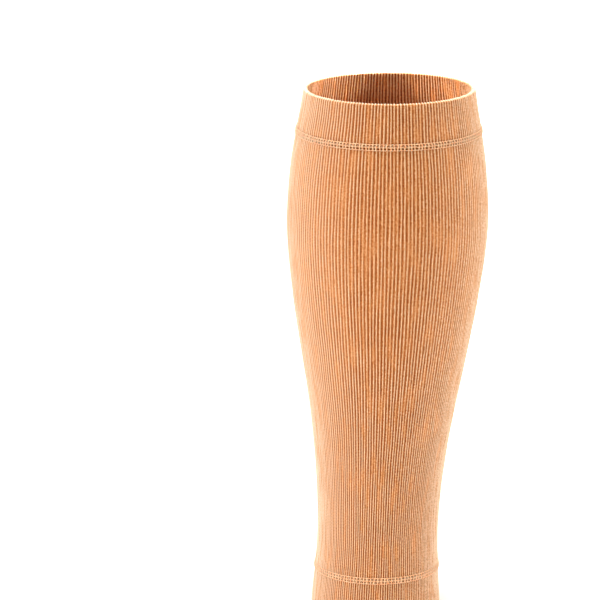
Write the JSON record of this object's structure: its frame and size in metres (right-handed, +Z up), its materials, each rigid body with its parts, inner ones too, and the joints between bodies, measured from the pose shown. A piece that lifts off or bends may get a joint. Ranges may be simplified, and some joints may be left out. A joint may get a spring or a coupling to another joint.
{
  "type": "calf compression sleeve",
  "caption": "Footless ribbed-knit compression sleeve in the form of a worn calf, open at top and ankle, with a turned and cover-stitched band at each end.",
  "frame": {"origin": "on the floor, straight below the axis of the calf's widest section, which is the bounding box's bottom centre to within 1 mm", "axes": "+Z up the leg, -Y the shin side, +X to the right seen from the shin side"},
  "size_m": [0.1212, 0.1257, 0.32],
  "materials": {
    "ribbed_knit": "matt, soft fuzzy rib knit, apricot",
    "seam_thread": "matt thread, a little lighter than the knit"
  },
  "bodies": {
    "root": {"calf_tube": "ribbed_knit", "top_band": "ribbed_knit", "ankle_band": "ribbed_knit", "top_seam_braid": "seam_thread", "ankle_seam_braid": "seam_thread"}
  },
  "joints": []
}
